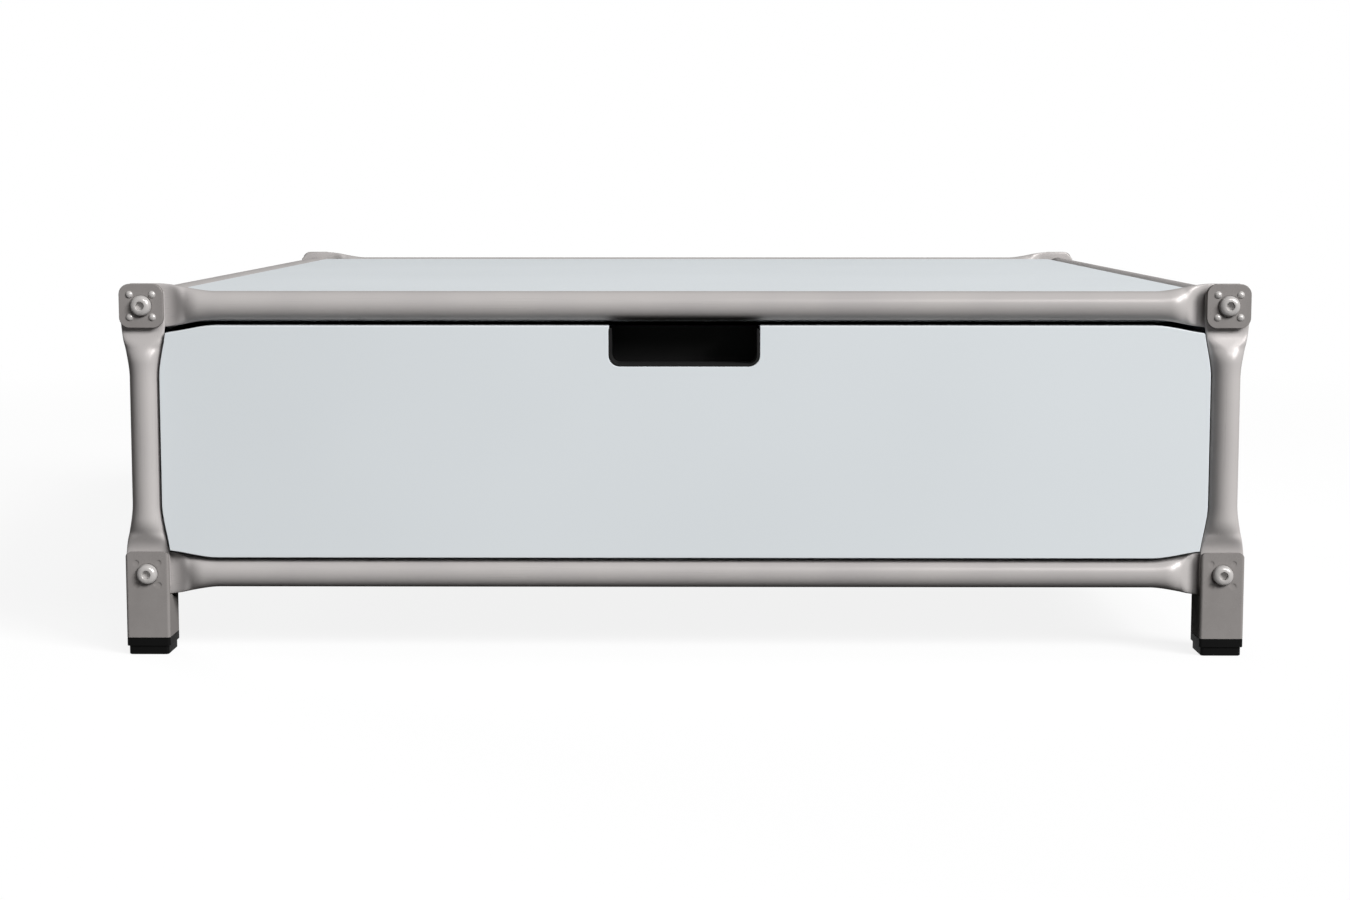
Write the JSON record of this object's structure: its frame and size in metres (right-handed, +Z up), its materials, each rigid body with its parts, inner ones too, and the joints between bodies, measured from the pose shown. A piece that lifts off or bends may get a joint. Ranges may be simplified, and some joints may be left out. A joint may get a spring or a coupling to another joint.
{
  "type": "coffee table",
  "caption": "Low square coffee table of bolted steel tubes with flattened ends, laminate boards set between them, and one wide drawer on telescopic runners.",
  "frame": {"origin": "on the floor under the middle of the table", "axes": "+Z up, the drawer front faces -Y, +X to the right seen from the front"},
  "size_m": [0.7492, 0.7516, 0.2493],
  "materials": {
    "tube_steel": "satin, drawn tube",
    "plate_steel": "satin, fine ground",
    "screw_steel": "polished stainless",
    "zinc_steel": "zinc plated sheet",
    "laminate": "pale blue grey laminate on board",
    "carcass": "pale grey coated board",
    "black_plastic": "fine moulded texture"
  },
  "bodies": {
    "frame": {"rail_top_front": "tube_steel", "rail_top_back": "tube_steel", "rail_bottom_front": "tube_steel", "rail_bottom_back": "tube_steel", "depth_tube_top_left": "tube_steel", "depth_tube_top_right": "tube_steel", "depth_tube_bottom_left": "tube_steel", "depth_tube_bottom_right": "tube_steel", "post_front_left": "tube_steel", "post_front_right": "tube_steel", "post_back_left": "tube_steel", "post_back_right": "tube_steel", "cover_plate_front_left": "plate_steel", "leg_front_left": "plate_steel", "cover_plate_front_right": "plate_steel", "leg_front_right": "plate_steel", "cover_plate_back_left": "plate_steel", "leg_back_left": "plate_steel", "cover_plate_back_right": "plate_steel", "leg_back_right": "plate_steel", "screw_top_front_left": "screw_steel", "screw_top_front_right": "screw_steel", "screw_top_back_left": "screw_steel", "screw_top_back_right": "screw_steel", "screw_bottom_front_left": "screw_steel", "screw_bottom_front_right": "screw_steel", "screw_bottom_back_left": "screw_steel", "screw_bottom_back_right": "screw_steel", "thread_plug_top_front_left": "zinc_steel", "thread_plug_top_front_right": "zinc_steel", "thread_plug_top_back_left": "zinc_steel", "thread_plug_top_back_right": "zinc_steel", "thread_plug_bottom_front_left": "zinc_steel", "thread_plug_bottom_front_right": "zinc_steel", "thread_plug_bottom_back_left": "zinc_steel", "thread_plug_bottom_back_right": "zinc_steel", "foot_front_left": "black_plastic", "foot_front_right": "black_plastic", "foot_back_left": "black_plastic", "foot_back_right": "black_plastic", "top_board": "laminate", "bottom_board": "laminate", "side_panel_left": "laminate", "side_panel_right": "laminate", "back_panel": "laminate", "runner_cabinet_member_left": "zinc_steel", "runner_cabinet_member_right": "zinc_steel"},
    "drawer": {"drawer_front": "laminate", "grip_cup": "black_plastic", "drawer_side_left": "carcass", "drawer_side_right": "carcass", "drawer_back": "carcass", "drawer_bottom": "carcass", "runner_drawer_member_left": "zinc_steel", "runner_drawer_member_right": "zinc_steel"},
    "runner_middle_left": {"runner_middle_member_left": "zinc_steel"},
    "runner_middle_right": {"runner_middle_member_right": "zinc_steel"}
  },
  "joints": [
    {"name": "drawer_slide", "type": "slide", "parent": "frame", "child": "drawer", "axis": [0, -1, 0], "range_m": [0, 0.55]},
    {"name": "runner_left_slide", "type": "slide", "parent": "frame", "child": "runner_middle_left", "axis": [0, -1, 0], "range_m": [0, 0.275]},
    {"name": "runner_right_slide", "type": "slide", "parent": "frame", "child": "runner_middle_right", "axis": [0, -1, 0], "range_m": [0, 0.275]}
  ],
  "couplings": [
    {"joint": "runner_left_slide", "follows": "drawer_slide", "ratio": 0.5},
    {"joint": "runner_right_slide", "follows": "drawer_slide", "ratio": 0.5}
  ]
}
